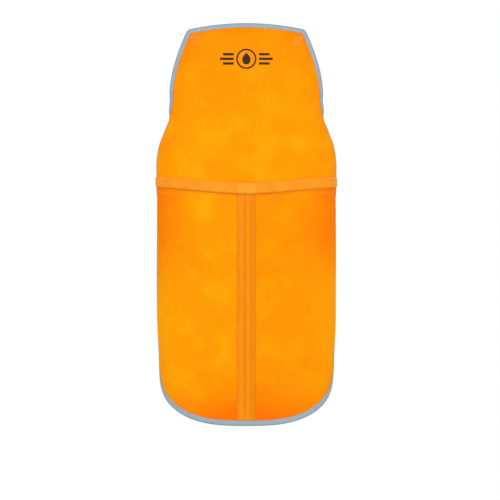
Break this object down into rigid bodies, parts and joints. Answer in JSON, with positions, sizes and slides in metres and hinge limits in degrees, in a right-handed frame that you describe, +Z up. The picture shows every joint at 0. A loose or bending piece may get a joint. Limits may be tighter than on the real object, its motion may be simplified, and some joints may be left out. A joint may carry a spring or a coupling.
{
  "type": "welding apron",
  "caption": "Bib-style leather welding apron with bound edges, waist belt in a casing, side-release buckle and adjustable neck strap.",
  "frame": {"origin": "middle of the bib's top edge, on the leather's inner face", "axes": "+Z up the apron, -Y the way the wearer faces, +X to the right of someone looking at the front"},
  "size_m": [0.4496, 0.1925, 0.9928],
  "materials": {
    "bib_leather": "suede split cowhide, warm amber, matt",
    "skirt_leather": "suede split cowhide, mottled orange, matt",
    "seam_leather": "thin orange leather strip with stitch rows",
    "webbing": "woven orange webbing",
    "binding_tape": "grey-blue woven binding tape",
    "steel": "plated rectangular ring",
    "plastic": "moulded black acetal"
  },
  "bodies": {
    "root": {"bib_panel": "bib_leather", "left_skirt_panel": "skirt_leather", "right_skirt_panel": "skirt_leather", "bib_binding": "binding_tape", "skirt_binding": "binding_tape", "waist_casing": "seam_leather", "casing_centre_patch": "seam_leather", "centre_seam_strip": "seam_leather", "waist_webbing": "webbing", "left_neck_tab": "webbing", "right_neck_tab": "webbing"},
    "neck_loop": {"neck_strap": "webbing", "left_neck_ring": "steel", "right_neck_ring": "steel"},
    "neck_slider": {"neck_slider": "plastic"},
    "left_belt": {"left_belt_strap": "webbing", "buckle_socket": "plastic"},
    "right_belt": {"right_belt_strap": "webbing", "buckle_plug": "plastic"},
    "belt_keeper": {"belt_keeper": "plastic"},
    "front_prong": {"front_prong": "plastic"},
    "rear_prong": {"rear_prong": "plastic"}
  },
  "joints": [
    {"name": "neck_strap_swing", "type": "hinge", "parent": "root", "child": "neck_loop", "pos_m": [0, 0.00788, -0.022], "axis": [1, 0, 0], "range_deg": [0, 160]},
    {"name": "neck_slider_slide", "type": "slide", "parent": "neck_loop", "child": "neck_slider", "axis": [0, 0, 1], "range_m": [-0.025, 0.022]},
    {"name": "left_belt_swing", "type": "hinge", "parent": "root", "child": "left_belt", "pos_m": [-0.22251, 0.17137, -0.41275], "axis": [0, -1, 0], "range_deg": [-60, 90]},
    {"name": "right_belt_swing", "type": "hinge", "parent": "root", "child": "right_belt", "pos_m": [0.22251, 0.17137, -0.41275], "axis": [0, 1, 0], "range_deg": [-60, 90]},
    {"name": "belt_keeper_slide", "type": "slide", "parent": "right_belt", "child": "belt_keeper", "axis": [0, 0, 1], "range_m": [-0.03, 0.02]},
    {"name": "front_prong_flex", "type": "hinge", "parent": "right_belt", "child": "front_prong", "pos_m": [0.21431, 0.16317, -0.59305], "axis": [1, 0, 0], "range_deg": [0, 8], "stiffness_Nm_per_rad": 0.3},
    {"name": "rear_prong_flex", "type": "hinge", "parent": "right_belt", "child": "rear_prong", "pos_m": [0.21431, 0.17957, -0.59305], "axis": [-1, 0, 0], "range_deg": [0, 8], "stiffness_Nm_per_rad": 0.3}
  ],
  "couplings": [
    {"joint": "rear_prong_flex", "follows": "front_prong_flex", "ratio": 1}
  ]
}
